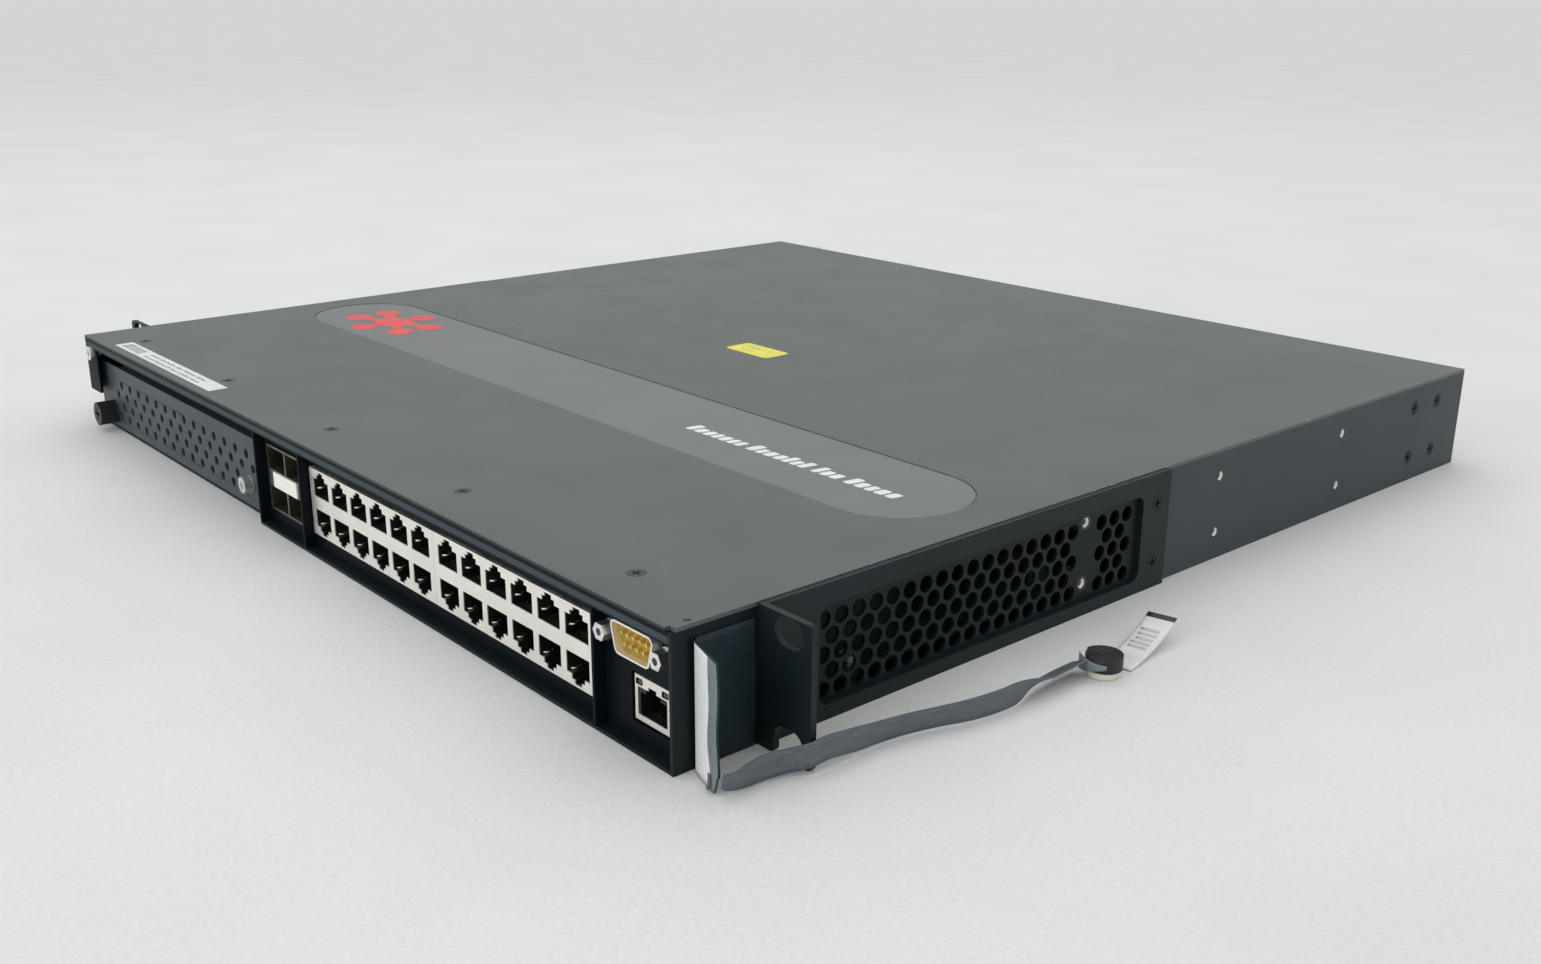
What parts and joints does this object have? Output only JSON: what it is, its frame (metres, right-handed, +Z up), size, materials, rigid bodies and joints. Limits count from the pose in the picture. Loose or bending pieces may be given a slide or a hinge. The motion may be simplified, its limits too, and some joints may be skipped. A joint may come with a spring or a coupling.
{
  "type": "rack network security appliance",
  "caption": "One-unit rack appliance in dark sheet steel: stacked copper jacks, pluggable cages, option slot, hot-swap power supplies and fan tray, rack ears and an attached wrist-strap tag.",
  "frame": {"origin": "on the resting surface, under the middle of the whole object's box (knobs and handles included, loose strap left out)", "axes": "+X to the right seen from the front, +Y from the front panel to the rear, +Z up"},
  "size_m": [0.5013, 0.453, 0.0416],
  "materials": {
    "body_paint": "satin black powder coat",
    "cover_paint": "matte dark grey powder coat",
    "badge_print": "matte printed overlay",
    "label_paper": "white label stock",
    "sticker_yellow": "yellow label stock",
    "black_fastener": "black zinc",
    "bright_fastener": "nickel plated",
    "jack_shield": "nickel plated",
    "cage_steel": "tin plated",
    "galvanised": "zinc plated",
    "contact_gold": "gold plated",
    "serial_chromate": "yellow chromate",
    "connector_black": "glass-filled nylon",
    "clear_pipe": "clear polycarbonate",
    "board_laminate": "solder mask",
    "chip_epoxy": "moulded epoxy",
    "heatsink_alloy": "extruded",
    "strap_film": "carbon-filled film",
    "roll_foam": "wound film",
    "knob_black": "knurled",
    "latch_green": "moulded",
    "fan_black": "moulded"
  },
  "bodies": {
    "chassis": {"base_pan": "body_paint", "side_wall_right": "body_paint", "side_wall_left": "body_paint", "rear_panel": "body_paint", "top_cover": "cover_paint", "front_bezel": "body_paint", "badge_plate": "badge_print", "asset_label": "label_paper", "yellow_sticker": "sticker_yellow", "rack_ear_right": "body_paint", "rack_ear_left": "body_paint", "black_screws": "black_fastener", "side_studs": "bright_fastener", "silver_screws": "bright_fastener", "rj45_shield_left": "jack_shield", "rj45_shield_right": "jack_shield", "rj45_housing_left": "connector_black", "rj45_housing_right": "connector_black", "jack_contacts": "contact_gold", "sfp_cage": "cage_steel", "light_pipes": "clear_pipe", "serial_shell": "jack_shield", "serial_insert": "serial_chromate", "serial_pins": "contact_gold", "serial_jackscrews": "bright_fastener", "mgmt_shield": "jack_shield", "mgmt_housing": "connector_black", "main_board": "board_laminate", "board_standoffs": "bright_fastener", "board_chips": "chip_epoxy", "heatsinks": "heatsink_alloy", "memory_module": "board_laminate", "power_backplane": "board_laminate", "tag_sheet": "strap_film", "strap_ribbon": "strap_film", "strap_roll": "roll_foam", "strap_end_label": "label_paper"},
    "option_filler": {"slot_filler": "body_paint"},
    "filler_knob": {"filler_knob": "knob_black"},
    "filler_screw": {"filler_screw": "bright_fastener"},
    "fan_tray": {"fan_tray": "galvanised", "fan_frames": "fan_black"},
    "tray_screw_left": {"fan_tray_screw_left": "bright_fastener"},
    "tray_screw_right": {"fan_tray_screw_right": "bright_fastener"},
    "fan_1": {"fan_rotor_1": "fan_black"},
    "fan_2": {"fan_rotor_2": "fan_black"},
    "fan_3": {"fan_rotor_3": "fan_black"},
    "fan_4": {"fan_rotor_4": "fan_black"},
    "psu_a": {"psu_a_case": "galvanised", "psu_a_handle": "bright_fastener", "psu_a_inlet": "connector_black", "psu_a_board": "board_laminate"},
    "psu_a_latch": {"psu_a_latch": "latch_green"},
    "psu_a_fan": {"psu_a_rotor": "fan_black"},
    "psu_b": {"psu_b_case": "galvanised", "psu_b_handle": "bright_fastener", "psu_b_inlet": "connector_black", "psu_b_board": "board_laminate"},
    "psu_b_latch": {"psu_b_latch": "latch_green"},
    "psu_b_fan": {"psu_b_rotor": "fan_black"}
  },
  "joints": [
    {"name": "filler_slide", "type": "slide", "parent": "chassis", "child": "option_filler", "axis": [0, -1, 0], "range_m": [0, 0.06]},
    {"name": "filler_knob_turn", "type": "hinge", "parent": "option_filler", "child": "filler_knob", "pos_m": [-0.203, -0.2225, 0.0083], "axis": [0, -1, 0], "range_deg": [0, 1800]},
    {"name": "filler_screw_turn", "type": "hinge", "parent": "option_filler", "child": "filler_screw", "pos_m": [-0.0515, -0.2225, 0.0113], "axis": [0, -1, 0], "range_deg": [0, 1800]},
    {"name": "fan_tray_slide", "type": "slide", "parent": "chassis", "child": "fan_tray", "axis": [0, 1, 0], "range_m": [0, 0.08]},
    {"name": "tray_screw_left_turn", "type": "hinge", "parent": "fan_tray", "child": "tray_screw_left", "pos_m": [0.027, 0.2025, 0.021], "axis": [0, 1, 0], "range_deg": [0, 1800]},
    {"name": "tray_screw_right_turn", "type": "hinge", "parent": "fan_tray", "child": "tray_screw_right", "pos_m": [0.211, 0.2025, 0.021], "axis": [0, 1, 0], "range_deg": [0, 1800]},
    {"name": "fan_1_spin", "type": "hinge", "parent": "fan_tray", "child": "fan_1", "pos_m": [0.053, 0.1625, 0.021], "axis": [0, 1, 0], "continuous": true},
    {"name": "fan_2_spin", "type": "hinge", "parent": "fan_tray", "child": "fan_2", "pos_m": [0.097, 0.1625, 0.021], "axis": [0, 1, 0], "continuous": true},
    {"name": "fan_3_spin", "type": "hinge", "parent": "fan_tray", "child": "fan_3", "pos_m": [0.141, 0.1625, 0.021], "axis": [0, 1, 0], "continuous": true},
    {"name": "fan_4_spin", "type": "hinge", "parent": "fan_tray", "child": "fan_4", "pos_m": [0.185, 0.1625, 0.021], "axis": [0, 1, 0], "continuous": true},
    {"name": "psu_a_slide", "type": "slide", "parent": "chassis", "child": "psu_a", "axis": [0, 1, 0], "range_m": [0, 0.205]},
    {"name": "psu_a_latch_press", "type": "slide", "parent": "psu_a", "child": "psu_a_latch", "axis": [1, 0, 0], "range_m": [0, 0.003], "stiffness_N_per_m": 300, "springref_m": -0.001},
    {"name": "psu_a_fan_spin", "type": "hinge", "parent": "psu_a", "child": "psu_a_fan", "pos_m": [-0.153, 0.1905, 0.02005], "axis": [0, 1, 0], "continuous": true},
    {"name": "psu_b_slide", "type": "slide", "parent": "chassis", "child": "psu_b", "axis": [0, 1, 0], "range_m": [0, 0.205]},
    {"name": "psu_b_latch_press", "type": "slide", "parent": "psu_b", "child": "psu_b_latch", "axis": [1, 0, 0], "range_m": [0, 0.003], "stiffness_N_per_m": 300, "springref_m": -0.001},
    {"name": "psu_b_fan_spin", "type": "hinge", "parent": "psu_b", "child": "psu_b_fan", "pos_m": [-0.073, 0.1905, 0.02005], "axis": [0, 1, 0], "continuous": true}
  ]
}
